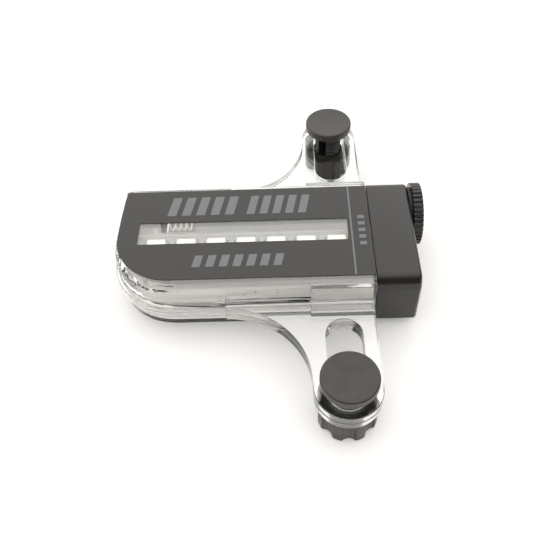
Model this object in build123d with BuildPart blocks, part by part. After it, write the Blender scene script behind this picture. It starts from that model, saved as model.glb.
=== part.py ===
from build123d import *
import os
from math import cos, pi, sin, sqrt

os.makedirs("parts", exist_ok=True)

# A battery light that clamps between the spokes of a bicycle wheel. Two clear half shells meet on a
# middle plane. Each carries one layer of the two slotted arms. A bolt through each arm hooks over a
# spoke and a thumb nut draws it tight. A screw plug in the end cap lets the cell out.
# +X runs from the rounded end to the plug, +Y from the front arm to the rear arm and +Z up. The origin
# is under the middle of the light, on the plane that its two nuts stand on. Lengths are in millimetres.

# Housing, which is as large as its cell, its spring and its lamp boards ask for
shell_wall = 1.2
nose_length = 9.4
bay_gap = 2.4
ceiling_gap = 1.05
corner_radius = 15.8
rear_corner_radius = 0.8
end_lean = 0.6
side_roll = 2.4
lower_roll = 0.9
end_roll = 0.65
corner_step = 1.0
cavity_roll = 1.2
cavity_end_roll = 0.5
seam_gap = 0.1
roll_bands = 4

# Flange on the parting plane
flange_end_reach = 0.6
flange_side_reach = 2.0
flange_thickness = 3.3

# Arms and their slots
arm_span = 105.6
arm_width = 16.5
arm_thickness = 4.6
arm_to_cap = 0.55
arm_sweep_radius = 21.5
arm_root_reach = 2.9
root_fillet = 0.6
slot_width = 9.2
slot_travel = 14.9
slot_tip_wall = 3.5
pad_proud = 0.8
pad_height = 7.1
pad_width = 16.6

# Printed labels and their window
label_thickness = 0.3
window_half_width = 3.8
window_end_wall = 6.1
label_seam_wall = 0.15

# End cap
cap_length = 11.5
cap_wall = 1.5
cap_end_bevel = 0.6
spigot_length = 2.5
spigot_wall = 1.0
spigot_gap = 0.1

# Cell, its axis and its spring
cell_radius = 5.1
cell_length = 44.5
cell_wrap_thickness = 0.12
cell_wrap_gap = 0.03
cell_button_radius = 1.9
cell_button_length = 1.0
cell_side_gap = 0.1
cell_bore_gap = 0.2
cell_axis_lift = 0.6
spring_radius = 3.5
spring_wire = 0.55
spring_wire_sides = 6
spring_bend = 0.65
spring_length = 9.4
spring_turns = 4.25
spring_plate_size = 8.2
spring_plate_thickness = 0.5

# Screw plug, its gasket and its contacts
knob_radius = 8.75
knob_thickness = 2.65
ridge_count = 38
ridge_groove = 0.42
collar_length = 1.0
collar_radius = 6.5
gasket_width = 1.0
gasket_gap = 0.05
thread_gap = 0.05
sleeve_wall = 0.4
sleeve_length = 9.0
contact_wall = 0.35
contact_flange = 0.5
contact_skirt_radius = 4.6
stem_gap = 0.04
strip_width = 1.5
strip_thickness = 0.4

# Bolts and thumb nuts
bolt_shank_radius = 4.0
bolt_head_radius = 6.93
bolt_head_thickness = 2.4
bolt_head_bevel = 0.35
bolt_end_play = 0.3
spoke_gap = 3.25
spoke_slot_width = 2.6
spoke_slot_neck = 0.7
spoke_slot_turn = 33
bolt_end_recess = 0.4
nut_radius = 7.4
nut_height = 8.05
nut_gap = 0.1
nut_thread_gap = 0.05
nut_flute_count = 8
nut_flute_radius = 2.3
nut_flute_depth = 0.9
nut_edge = 0.5

# Lamp boards
board_half_width = 3.6
board_thickness = 1.0
board_end_margin = 1.5
board_depth = 5.5
lamp_count = 7
lamp_gap = 2.4
lamp_row_overrun = 1.3
lamp_width = 3.4
lamp_height = 1.2
lamp_edge = 0.3
pin_width = 0.6
pin_spacing = 2.54

# Inner carrier
carrier_gap = 0.15
carrier_wall = 0.9
rail_ledge = 1.3
rail_wall = 0.8
rail_proud = 0.3
board_side_gap = 0.1
partition_thickness = 1.0
end_wall_gap = 0.3
end_wall_thickness = 0.8
floor_thickness = 1.0

# Control board and what it carries
control_front_gap = 1.35
control_end_gap = 0.4
control_corner_cut = 2.5
chip_length = 6.2
chip_width = 5.0
chip_height = 1.5
switch_radius = 2.1
switch_length = 8.5
inductor_radius = 3.2
inductor_height = 3.4
capacitor_radius = 2.5
capacitor_height = 5.2
resistor_length = 2.0
resistor_width = 1.2
resistor_height = 0.6
resistor_count = 4
resistor_pitch = 2.1
chip_place_share = 0.22
switch_place_share = 0.42
inductor_place_share = 0.64
capacitor_place_share = 0.8
resistor_place_share = 0.9

# The housing round its contents
rail_outer = board_half_width + board_side_gap + rail_wall
housing_half_width = rail_outer + bay_gap + 2 * cell_radius + cell_side_gap + shell_wall
housing_height = 2 * (label_thickness + shell_wall + ceiling_gap + cell_radius + cell_axis_lift)
cell_length_room = cell_length + spring_length + spring_plate_thickness + partition_thickness
housing_length = nose_length + cell_length_room + spigot_length + spigot_wall
window_length = housing_length - 2 * window_end_wall
lamp_pitch = (window_length + lamp_row_overrun) / lamp_count
lamp_length = lamp_pitch - lamp_gap

# Places along the light
overall_length = flange_end_reach + housing_length + cap_length + collar_length + knob_thickness
wall_x = flange_end_reach - overall_length / 2
seam_x = wall_x + housing_length
cap_end_x = seam_x + cap_length
knob_x = cap_end_x + collar_length
arm_x = seam_x - arm_to_cap - arm_width / 2
cavity_x = wall_x + shell_wall

# Places up the light
arm_half = arm_thickness / 2
housing_bottom = nut_height + nut_gap + arm_half - housing_height / 2
mid_z = housing_bottom + housing_height / 2
shell_half_height = housing_height / 2 - label_thickness
cavity_half_height = shell_half_height - shell_wall
arm_top = mid_z + arm_half

# Cell and plug axis, as far to the rear as the housing wall lets the cell lie
cell_y = housing_half_width - shell_wall - cell_side_gap - cell_radius
cell_z = mid_z + cell_axis_lift
cell_bore = cell_radius + cell_bore_gap
cell_front_x = seam_x - spigot_length - spigot_wall
cell_back_x = cell_front_x - cell_length
spring_x = cell_back_x - spring_length
plug_radius = cell_bore - thread_gap

# Bolt places
slot_radius = slot_width / 2
slot_outer_y = arm_span / 2 - slot_tip_wall - slot_radius
slot_inner_y = slot_outer_y - slot_travel
bolt_y = slot_outer_y + slot_radius - bolt_shank_radius - bolt_end_play
head_z = arm_top + spoke_gap


def axis_plane(x):
    """A plane across the cell's axis at x, with its first direction along +Y."""
    return Plane(origin=(x, cell_y, cell_z), x_dir=(0, 1, 0), z_dir=(1, 0, 0))


def plan(height, end_reach, side_reach, corner, stop_x):
    """The housing seen from above, grown from its wall: a large front corner and a leaning end."""
    left = wall_x - end_reach
    half = housing_half_width + side_reach
    with BuildSketch(Plane.XY.offset(height)) as shape:
        with BuildLine():
            Line((stop_x, -half), (left + corner, -half))
            TangentArc((left + corner, -half), (left, corner - half), tangent=(-1, 0))
            TangentArc((left, corner - half), (left + end_lean, half), tangent=(0, 1))
            Line((left + end_lean, half), (stop_x, half))
            Line((stop_x, half), (stop_x, -half))
        make_face()
        fillet(shape.vertices().sort_by_distance((left + end_lean, half))[0], rear_corner_radius)
    return shape.sketch


def rolled_form(half_height, reach, corner, stop_x, side_depth, end_depth):
    """The upper half of the housing's form, with its top edge rolled over in straight bands."""
    straight = half_height - side_depth
    rings = []
    for band in range(roll_bands + 1):
        turn = pi / 2 * band / roll_bands
        inset = 1 - cos(turn)
        ring = plan(
            mid_z + straight + side_depth * sin(turn),
            reach - end_depth * inset,
            reach - side_depth * inset,
            corner - corner_step * inset,
            stop_x,
        )
        rings.append(ring)
    with BuildPart() as form:
        extrude(plan(mid_z, reach, reach, corner, stop_x), amount=straight)
        loft(rings, ruled=True)
    return form.part


def arm_plan():
    """Both arms from above: a wide root that sweeps in to a round-ended arm, with its slot."""
    left = arm_x - arm_width / 2
    right = arm_x + arm_width / 2
    root_y = housing_half_width + arm_root_reach
    sweep_y = root_y + arm_sweep_radius
    tip_y = (arm_span - arm_width) / 2
    inner_y = housing_half_width - shell_wall
    with BuildSketch(Plane.XY.offset(mid_z)) as shape:
        with BuildLine():
            Line((left - arm_sweep_radius, inner_y), (left - arm_sweep_radius, root_y))
            TangentArc((left - arm_sweep_radius, root_y), (left, sweep_y), tangent=(1, 0))
            Line((left, sweep_y), (left, tip_y))
            ThreePointArc((left, tip_y), (arm_x, arm_span / 2), (right, tip_y))
            Line((right, tip_y), (right, inner_y))
            Line((right, inner_y), (left - arm_sweep_radius, inner_y))
        make_face()
        with Locations((arm_x, (slot_outer_y + slot_inner_y) / 2)):
            SlotCenterToCenter(slot_travel, slot_width, rotation=90, mode=Mode.SUBTRACT)
        mirror(about=Plane.XZ)
    return shape.sketch


def root_web():
    """The concave web between a side wall and the top of its arm, on both sides."""
    wall = housing_half_width - shell_wall
    foot = housing_half_width + root_fillet
    with BuildSketch(Plane.YZ.offset(arm_x - arm_width / 2 - arm_sweep_radius)) as shape:
        with BuildLine():
            Line((wall, arm_top), (foot, arm_top))
            TangentArc((foot, arm_top), (housing_half_width, arm_top + root_fillet), tangent=(-1, 0))
            Line((housing_half_width, arm_top + root_fillet), (wall, arm_top + root_fillet))
            Line((wall, arm_top + root_fillet), (wall, arm_top))
        make_face()
        mirror(about=Plane.YZ)
    return shape.sketch


# Clear half shells
cavity_form = rolled_form(
    cavity_half_height,
    -shell_wall,
    corner_radius - shell_wall,
    seam_x,
    cavity_roll,
    cavity_end_roll,
)


def half_shell(edge_roll):
    """One half shell above the parting plane, with its long outer edges rolled over by this much."""
    with BuildPart() as half:
        add(rolled_form(shell_half_height, 0, corner_radius, seam_x, edge_roll, end_roll))
        extrude(
            plan(mid_z, flange_end_reach, flange_side_reach, corner_radius + corner_step, arm_x),
            amount=flange_thickness / 2,
        )
        extrude(arm_plan(), amount=arm_half)
        extrude(root_web(), amount=arm_width + arm_sweep_radius)
        with BuildSketch(Plane.XY.offset(mid_z)):
            with Locations((seam_x - pad_width / 2, 0)):
                Rectangle(pad_width, 2 * (housing_half_width + pad_proud))
        extrude(amount=pad_height)
        add(cavity_form, mode=Mode.SUBTRACT)
    return half.part


with BuildPart() as upper_shell:
    add(half_shell(side_roll))
upper_shell.part.label = "upper_shell"
export_step(upper_shell.part, "parts/upper_shell.step")

with BuildPart() as lower_shell:
    mirror(half_shell(lower_roll), about=Plane.XY.offset(mid_z))
lower_shell.part.label = "lower_shell"
export_step(lower_shell.part, "parts/lower_shell.step")

# Printed labels, cut open where the lamps shine through
with BuildPart() as upper_label:
    extrude(
        plan(
            mid_z + shell_half_height,
            -end_roll,
            -side_roll,
            corner_radius - corner_step,
            seam_x - label_seam_wall,
        ),
        amount=label_thickness,
    )
    with BuildSketch(Plane.XY.offset(mid_z + shell_half_height)):
        with Locations((wall_x + window_end_wall + window_length / 2, 0)):
            Rectangle(window_length, 2 * window_half_width)
    extrude(amount=label_thickness, mode=Mode.SUBTRACT)
upper_label.part.label = "upper_label"
export_step(upper_label.part, "parts/upper_label.step")

with BuildPart() as lower_label:
    mirror(upper_label.part, about=Plane.XY.offset(mid_z))
lower_label.part.label = "lower_label"
export_step(lower_label.part, "parts/lower_label.step")

# End cap: a hollow block with a boss round the plug and a lip that enters the shells
cap_x = seam_x + seam_gap
boss_radius = cell_bore + sleeve_wall + thread_gap

with BuildPart() as end_cap:
    with BuildSketch(Plane.YZ.offset(cap_x)) as cap_outline:
        with Locations((0, mid_z)):
            Rectangle(2 * housing_half_width, housing_height)
        fillet(cap_outline.vertices().group_by(Axis.Y)[-1], side_roll)
        fillet(cap_outline.vertices().group_by(Axis.Y)[0], lower_roll)
    extrude(amount=cap_length - seam_gap)
    chamfer(end_cap.faces().sort_by(Axis.X)[-1].edges(), cap_end_bevel)
    with BuildSketch(Plane.YZ.offset(cap_x)):
        with Locations((0, mid_z)):
            RectangleRounded(
                2 * (housing_half_width - cap_wall),
                housing_height - 2 * cap_wall,
                side_roll - cap_wall / 2,
            )
        with Locations((cell_y, cell_z)):
            Circle(boss_radius + cap_wall, mode=Mode.SUBTRACT)
    extrude(amount=cap_length - seam_gap - cap_wall, mode=Mode.SUBTRACT)
    with BuildSketch(Plane.YZ.offset(seam_x - spigot_length)):
        with Locations((0, mid_z)):
            RectangleRounded(
                2 * (housing_half_width - shell_wall - spigot_gap),
                2 * (cavity_half_height - spigot_gap),
                cavity_roll,
            )
            RectangleRounded(
                2 * (housing_half_width - shell_wall - spigot_gap - spigot_wall),
                2 * (cavity_half_height - spigot_gap - spigot_wall),
                cavity_roll / 2,
                mode=Mode.SUBTRACT,
            )
    extrude(amount=spigot_length + seam_gap + cap_wall)
    with BuildSketch(axis_plane(seam_x - spigot_length)):
        Circle(cell_bore)
    extrude(amount=spigot_length + cap_length, mode=Mode.SUBTRACT)
    with BuildSketch(axis_plane(cap_x)):
        Circle(boss_radius)
    extrude(amount=sleeve_length + thread_gap, mode=Mode.SUBTRACT)
end_cap.part.label = "end_cap"
export_step(end_cap.part, "parts/end_cap.step")

# Brass sleeve in the cap, which the plug screws into, and the strip that leads to the control board
control_floor_z = mid_z - board_depth / 2 + floor_thickness / 2
control_top_z = control_floor_z + board_thickness
control_inner_y = -(rail_outer + board_side_gap)
inner_wall_y = housing_half_width - shell_wall - carrier_gap - carrier_wall
control_outer_y = control_front_gap - inner_wall_y
control_width = control_inner_y - control_outer_y
strip_y = control_inner_y - control_width / 2

with BuildPart() as contact_sleeve:
    with BuildSketch(axis_plane(cap_x)):
        Circle(cell_bore + sleeve_wall)
        Circle(cell_bore, mode=Mode.SUBTRACT)
    extrude(amount=sleeve_length)
contact_sleeve.part.label = "contact_sleeve"
export_step(contact_sleeve.part, "parts/contact_sleeve.step")

control_end_x = cell_front_x - control_end_gap

with BuildPart() as sleeve_strip:
    with BuildSketch(Plane.XY.offset(control_top_z)):
        with Locations((cap_x - strip_thickness, strip_y)):
            Rectangle(
                cap_x - strip_thickness - control_end_x + strip_width,
                strip_thickness,
                align=(Align.MAX, Align.MIN),
            )
            Rectangle(
                strip_thickness,
                cell_y - cell_bore - sleeve_wall - strip_y,
                align=(Align.MAX, Align.MIN),
            )
    extrude(amount=strip_width)
sleeve_strip.part.label = "sleeve_strip"
export_step(sleeve_strip.part, "parts/sleeve_strip.step")

# Cell with its printed wrap and its button
with BuildPart() as cell_wrap:
    with BuildSketch(axis_plane(cell_back_x)):
        Circle(cell_radius)
        Circle(cell_radius - cell_wrap_thickness, mode=Mode.SUBTRACT)
    extrude(amount=cell_length - cell_button_length)
cell_wrap.part.label = "cell_wrap"
export_step(cell_wrap.part, "parts/cell_wrap.step")

with BuildPart() as cell_can:
    with BuildSketch(axis_plane(cell_back_x)):
        Circle(cell_radius - cell_wrap_thickness - cell_wrap_gap)
    extrude(amount=cell_length - cell_button_length)
cell_can.part.label = "cell_can"
export_step(cell_can.part, "parts/cell_can.step")

with BuildPart() as cell_button:
    with BuildSketch(axis_plane(cell_front_x - cell_button_length)):
        Circle(cell_button_radius)
    extrude(amount=cell_button_length)
    chamfer(cell_button.edges().group_by(Axis.X)[-1], cell_wrap_thickness)
cell_button.part.label = "cell_button"
export_step(cell_button.part, "parts/cell_button.step")

# Contact spring: a helix of quarter-turn biarcs, with both wire ends turned square to what they press on
coil_radius = spring_radius - spring_wire / 2
coil_end = spring_wire + spring_bend
coil_rise = spring_length - 2 * coil_end
coil_quarters = round(4 * spring_turns)
along = Vector(1, 0, 0)


def coil_point(quarter):
    """A point of the helix after so many quarter turns."""
    turn = pi / 2 * quarter
    return Vector(
        spring_x + coil_end + coil_rise * quarter / coil_quarters,
        cell_y + coil_radius * cos(turn),
        cell_z + coil_radius * sin(turn),
    )


def coil_direction(quarter):
    """The unit direction of the helix after so many quarter turns."""
    turn = pi / 2 * quarter
    climb = coil_rise / (coil_quarters * pi / 2)
    return Vector(climb, -coil_radius * sin(turn), coil_radius * cos(turn)).normalized()


def biarc(start, start_direction, finish, finish_direction):
    """Two arcs that leave start and reach finish along the given directions."""
    chord = finish - start
    both = start_direction + finish_direction
    square = 2 * (1 - start_direction.dot(finish_direction))
    middle = 2 * chord.dot(both)
    reach = (sqrt(middle**2 + 4 * square * chord.dot(chord)) - middle) / (2 * square)
    near = start + start_direction * reach
    far = finish - finish_direction * reach
    joint = (near + far) / 2
    TangentArc(start, joint, tangent=start_direction)
    TangentArc(joint, finish, tangent=far - near)


def coil_foot(quarter, side):
    """Where the wire leaves its straight end, beside the helix's first or last point."""
    point = coil_point(quarter)
    level = coil_direction(quarter)
    level = Vector(0, level.Y, level.Z).normalized()
    return point + (along + level) * (side * spring_bend)


first_bend = coil_foot(0, -1)
last_bend = coil_foot(coil_quarters, 1)
first_foot = first_bend - along * spring_wire
last_foot = last_bend + along * spring_wire

with BuildPart() as contact_spring:
    with BuildLine() as coil:
        Line(first_foot, first_bend)
        biarc(first_bend, along, coil_point(0), coil_direction(0))
        for quarter in range(coil_quarters):
            biarc(
                coil_point(quarter),
                coil_direction(quarter),
                coil_point(quarter + 1),
                coil_direction(quarter + 1),
            )
        biarc(coil_point(coil_quarters), coil_direction(coil_quarters), last_bend, along)
        Line(last_bend, last_foot)
    with BuildSketch(Plane(origin=first_foot, z_dir=along)):
        RegularPolygon(spring_wire / 2, spring_wire_sides)
    sweep()
contact_spring.part.label = "contact_spring"
export_step(contact_spring.part, "parts/contact_spring.step")

samples_per_turn = 24
coil_samples = round(samples_per_turn * spring_turns)
coil_points = [coil_point(4 * step / samples_per_turn) for step in range(coil_samples + 1)]
turn_gaps = [
    (coil_points[far] - coil_points[near]).length - spring_wire
    for near in range(len(coil_points))
    for far in range(near + samples_per_turn // 2, len(coil_points))
]
print(f"contact spring: least gap between turns {min(turn_gaps):.2f} mm")

# Spring plate, with a tail that crosses between the lamp boards to the control board
plate_x = spring_x - spring_plate_thickness

with BuildPart() as spring_plate:
    with BuildSketch(axis_plane(plate_x)):
        RectangleRounded(spring_plate_size, spring_plate_size, spring_wire)
    extrude(amount=spring_plate_thickness)
    with BuildSketch(Plane.YZ.offset(plate_x)):
        with Locations((strip_y, control_top_z)):
            Rectangle(
                cell_y - spring_plate_size / 2 - strip_y + spring_wire,
                strip_width,
                align=(Align.MIN, Align.MIN),
            )
    extrude(amount=spring_plate_thickness)
spring_plate.part.label = "spring_plate"
export_step(spring_plate.part, "parts/spring_plate.step")

# Screw plug: knurled knob, collar, thread body and the stem that carries its contact
contact_front_x = cell_front_x
contact_seat_x = cap_x + contact_flange
stem_radius = contact_skirt_radius - contact_wall - stem_gap

with BuildPart() as thumb_plug:
    with BuildSketch(axis_plane(knob_x)):
        Circle(knob_radius)
        with PolarLocations(knob_radius, ridge_count):
            RegularPolygon(ridge_groove, 4, mode=Mode.SUBTRACT)
    extrude(amount=knob_thickness)
    with BuildSketch(axis_plane(cap_end_x)):
        Circle(collar_radius)
    extrude(amount=collar_length)
    with BuildSketch(axis_plane(contact_seat_x)):
        Circle(plug_radius)
    extrude(amount=cap_end_x - contact_seat_x)
    with BuildSketch(axis_plane(contact_front_x + contact_wall)):
        Circle(stem_radius)
    extrude(amount=contact_seat_x - contact_front_x - contact_wall)
thumb_plug.part.label = "thumb_plug"
export_step(thumb_plug.part, "parts/thumb_plug.step")

with BuildPart() as plug_contact:
    with BuildSketch(axis_plane(contact_front_x)):
        Circle(contact_skirt_radius)
    extrude(amount=contact_seat_x - contact_front_x)
    with BuildSketch(axis_plane(contact_seat_x - contact_flange)):
        Circle(plug_radius)
    extrude(amount=contact_flange)
    with BuildSketch(axis_plane(contact_front_x + contact_wall)):
        Circle(contact_skirt_radius - contact_wall)
    extrude(amount=contact_seat_x - contact_front_x, mode=Mode.SUBTRACT)
plug_contact.part.label = "plug_contact"
export_step(plug_contact.part, "parts/plug_contact.step")

with BuildPart() as plug_gasket:
    with BuildSketch(axis_plane(cap_end_x + gasket_gap)):
        Circle(collar_radius + gasket_width)
        Circle(collar_radius + gasket_gap, mode=Mode.SUBTRACT)
    extrude(amount=collar_length - gasket_gap)
plug_gasket.part.label = "plug_gasket"
export_step(plug_gasket.part, "parts/plug_gasket.step")

# Lamp boards and their lamps, the same above and below the parting plane
board_x = cavity_x + carrier_gap + carrier_wall + board_end_margin
board_length = cell_front_x - board_x
lamp_middle_x = wall_x + window_end_wall + lamp_pitch * lamp_count / 2
board_top_z = mid_z + board_depth / 2

with BuildPart() as upper_led_board:
    with BuildSketch(Plane.XY.offset(board_top_z - board_thickness)):
        with Locations((board_x + board_length / 2, 0)):
            RectangleRounded(board_length, 2 * board_half_width, lamp_edge)
    extrude(amount=board_thickness)
upper_led_board.part.label = "upper_led_board"
export_step(upper_led_board.part, "parts/upper_led_board.step")

with BuildPart() as lower_led_board:
    mirror(upper_led_board.part, about=Plane.XY.offset(mid_z))
lower_led_board.part.label = "lower_led_board"
export_step(lower_led_board.part, "parts/lower_led_board.step")

with BuildPart() as upper_leds:
    with BuildSketch(Plane.XY.offset(board_top_z)):
        with Locations((lamp_middle_x, 0)):
            with GridLocations(lamp_pitch, 0, lamp_count, 1):
                Rectangle(lamp_length, lamp_width)
    extrude(amount=lamp_height)
    chamfer(upper_leds.faces().group_by(Axis.Z)[-1].edges(), lamp_edge)
upper_leds.part.label = "upper_leds"
export_step(upper_leds.part, "parts/upper_leds.step")

with BuildPart() as lower_leds:
    mirror(upper_leds.part, about=Plane.XY.offset(mid_z))
lower_leds.part.label = "lower_leds"
export_step(lower_leds.part, "parts/lower_leds.step")

with BuildPart() as board_pins:
    with BuildSketch(Plane.XY.offset(mid_z - board_depth / 2 + board_thickness)):
        with Locations((board_x + board_length - 2 * pin_spacing, 0)):
            with GridLocations(pin_spacing, pin_spacing, 2, 2):
                Rectangle(pin_width, pin_width)
    extrude(amount=board_depth - 2 * board_thickness)
board_pins.part.label = "board_pins"
export_step(board_pins.part, "parts/board_pins.step")

# Inner carrier: a ring inside the shells, rails for the lamp boards and a bay on either side of them
carrier_reach = -(shell_wall + carrier_gap)
carrier_end_x = seam_x - spigot_length - end_wall_gap
carrier_half_height = cavity_half_height - cavity_roll
rail_inner = board_half_width + board_side_gap - rail_ledge
rail_x = cavity_x + carrier_gap + carrier_wall / 2
rail_half_height = board_depth / 2 + rail_proud
pocket_depth = board_thickness + rail_proud
partition_x = plate_x - partition_thickness
wall_middle_y = inner_wall_y + carrier_wall / 2

with BuildPart() as inner_carrier:
    extrude(
        plan(
            mid_z - carrier_half_height,
            carrier_reach,
            carrier_reach,
            corner_radius + carrier_reach,
            carrier_end_x,
        ),
        amount=2 * carrier_half_height,
    )
    extrude(
        plan(
            mid_z - carrier_half_height,
            carrier_reach - carrier_wall,
            carrier_reach - carrier_wall,
            corner_radius + carrier_reach - carrier_wall,
            carrier_end_x,
        ),
        amount=2 * carrier_half_height,
        mode=Mode.SUBTRACT,
    )
    with BuildSketch(Plane.YZ.offset(rail_x)):
        with Locations((0, mid_z)):
            Rectangle(2 * rail_outer, 2 * rail_half_height)
            Rectangle(2 * rail_inner, 2 * rail_half_height, mode=Mode.SUBTRACT)
            with GridLocations(0, 2 * (rail_half_height - pocket_depth / 2), 1, 2):
                Rectangle(
                    2 * (board_half_width + board_side_gap),
                    pocket_depth,
                    mode=Mode.SUBTRACT,
                )
    extrude(amount=carrier_end_x - rail_x)
    with BuildSketch(Plane.XY.offset(control_floor_z - floor_thickness)):
        add(plan(0, carrier_reach, carrier_reach, corner_radius + carrier_reach, carrier_end_x))
        with Locations((rail_x, rail_wall / 2 - rail_outer)):
            Rectangle(
                carrier_end_x - rail_x,
                housing_half_width,
                align=(Align.MIN, Align.MAX),
                mode=Mode.INTERSECT,
            )
    extrude(amount=floor_thickness)
    with BuildSketch(Plane.YZ.offset(partition_x)):
        with Locations((rail_outer - rail_wall / 2, mid_z)):
            Rectangle(
                wall_middle_y - rail_outer + rail_wall / 2,
                2 * carrier_half_height,
                align=(Align.MIN, Align.CENTER),
            )
    extrude(amount=partition_thickness)
    with BuildSketch(Plane.YZ.offset(carrier_end_x - end_wall_thickness)):
        with Locations((rail_outer - rail_wall / 2, mid_z)):
            Rectangle(
                wall_middle_y - rail_outer + rail_wall / 2,
                2 * carrier_half_height,
                align=(Align.MIN, Align.CENTER),
            )
    extrude(amount=end_wall_thickness)
    with BuildSketch(Plane.YZ.offset(plate_x - board_side_gap)):
        with Locations((0, control_top_z + strip_width / 2)):
            Rectangle(2 * rail_outer, strip_width + 2 * board_side_gap)
    extrude(amount=spring_plate_thickness + 2 * board_side_gap, mode=Mode.SUBTRACT)
    with BuildSketch(axis_plane(spring_x)):
        Circle(cell_bore)
    extrude(amount=carrier_end_x - spring_x, mode=Mode.SUBTRACT)
inner_carrier.part.label = "inner_carrier"
export_step(inner_carrier.part, "parts/inner_carrier.step")

# Control board in the front bay, with its parts
control_start_x = plate_x - control_end_gap
control_length = control_end_x - control_start_x
control_middle_y = (control_inner_y + control_outer_y) / 2


def along_board(share):
    """A place along the control board's middle line."""
    return (control_start_x + control_length * share, control_middle_y)


with BuildPart() as control_board:
    with BuildSketch(Plane.XY.offset(control_floor_z)) as control_face:
        with Locations(along_board(1 / 2)):
            Rectangle(control_length, control_width)
        front_corner = control_face.vertices().sort_by_distance((control_start_x, control_outer_y))[0]
        chamfer(front_corner, control_corner_cut)
    extrude(amount=board_thickness)
control_board.part.label = "control_board"
export_step(control_board.part, "parts/control_board.step")

with BuildPart() as controller_chip:
    with BuildSketch(Plane.XY.offset(control_top_z)):
        with Locations(along_board(chip_place_share)):
            Rectangle(chip_length, chip_width)
    extrude(amount=chip_height)
    chamfer(controller_chip.faces().sort_by(Axis.Z)[-1].edges(), chip_height / 5)
controller_chip.part.label = "controller_chip"
export_step(controller_chip.part, "parts/controller_chip.step")

with BuildPart() as motion_switch:
    switch_middle_x, switch_y = along_board(switch_place_share)
    with BuildSketch(Plane.YZ.offset(switch_middle_x - switch_length / 2)):
        with Locations((switch_y, control_top_z + switch_radius)):
            Circle(switch_radius)
    extrude(amount=switch_length)
    chamfer(motion_switch.edges().filter_by(GeomType.CIRCLE), switch_radius / 6)
motion_switch.part.label = "motion_switch"
export_step(motion_switch.part, "parts/motion_switch.step")

with BuildPart() as boost_inductor:
    with BuildSketch(Plane.XY.offset(control_top_z)):
        with Locations(along_board(inductor_place_share)):
            Circle(inductor_radius)
    extrude(amount=inductor_height / 4)
    with BuildSketch(Plane.XY.offset(control_top_z + inductor_height / 4)):
        with Locations(along_board(inductor_place_share)):
            Circle(inductor_radius * 3 / 4)
    extrude(amount=inductor_height / 2)
    with BuildSketch(Plane.XY.offset(control_top_z + inductor_height * 3 / 4)):
        with Locations(along_board(inductor_place_share)):
            Circle(inductor_radius)
    extrude(amount=inductor_height / 4)
boost_inductor.part.label = "boost_inductor"
export_step(boost_inductor.part, "parts/boost_inductor.step")

with BuildPart() as storage_capacitor:
    with BuildSketch(Plane.XY.offset(control_top_z)):
        with Locations(along_board(capacitor_place_share)):
            Circle(capacitor_radius)
    extrude(amount=capacitor_height)
    chamfer(storage_capacitor.edges().group_by(Axis.Z)[-1], capacitor_radius / 8)
storage_capacitor.part.label = "storage_capacitor"
export_step(storage_capacitor.part, "parts/storage_capacitor.step")

with BuildPart() as resistors:
    with BuildSketch(Plane.XY.offset(control_top_z)):
        with Locations(along_board(resistor_place_share)):
            with GridLocations(0, resistor_pitch, 1, resistor_count):
                Rectangle(resistor_length, resistor_width)
    extrude(amount=resistor_height)
resistors.part.label = "resistors"
export_step(resistors.part, "parts/resistors.step")

# Spoke bolts: a round head, and a threaded shank split from its end by the slot that takes the spoke
with BuildPart() as rear_bolt:
    with BuildSketch(Plane.XY.offset(head_z)):
        with Locations((arm_x, bolt_y)):
            Circle(bolt_head_radius)
    extrude(amount=bolt_head_thickness)
    chamfer(rear_bolt.edges().filter_by(GeomType.CIRCLE), bolt_head_bevel)
    with BuildSketch(Plane.XY.offset(bolt_end_recess)):
        with Locations((arm_x, bolt_y)):
            Circle(bolt_shank_radius)
    extrude(amount=head_z - bolt_end_recess)
    with BuildSketch(Plane.XY.offset(bolt_end_recess)):
        with Locations((arm_x, bolt_y)):
            Rectangle(2 * bolt_shank_radius, spoke_slot_width, rotation=90 - spoke_slot_turn)
    extrude(amount=head_z - bolt_end_recess - spoke_slot_neck, mode=Mode.SUBTRACT)
rear_bolt.part.label = "rear_bolt"
export_step(rear_bolt.part, "parts/rear_bolt.step")

with BuildPart() as front_bolt:
    mirror(rear_bolt.part, about=Plane.XZ)
front_bolt.part.label = "front_bolt"
export_step(front_bolt.part, "parts/front_bolt.step")

# Thumb nuts, fluted for the fingers
with BuildPart() as rear_nut:
    with BuildSketch(Plane.XY):
        with Locations((arm_x, bolt_y)):
            Circle(nut_radius)
            with PolarLocations(nut_radius + nut_flute_radius - nut_flute_depth, nut_flute_count):
                Circle(nut_flute_radius, mode=Mode.SUBTRACT)
            Circle(bolt_shank_radius + nut_thread_gap, mode=Mode.SUBTRACT)
    extrude(amount=nut_height)
    chamfer(rear_nut.faces().sort_by(Axis.Z)[0].outer_wire().edges(), nut_edge)
rear_nut.part.label = "rear_nut"
export_step(rear_nut.part, "parts/rear_nut.step")

with BuildPart() as front_nut:
    mirror(rear_nut.part, about=Plane.XZ)
front_nut.part.label = "front_nut"
export_step(front_nut.part, "parts/front_nut.step")
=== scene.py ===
# %% [markdown]
# A battery light that clamps between the spokes of a bicycle wheel. The imported CAD model is loaded first
# as a fixed frame. Every piece below is built round it in metres, rides on one of its bodies by name, and
# keeps to its place.

# %% Load the frame
import math

import bmesh
import bpy
from mathutils import Matrix, Vector
from mathutils.bvhtree import BVHTree


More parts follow.
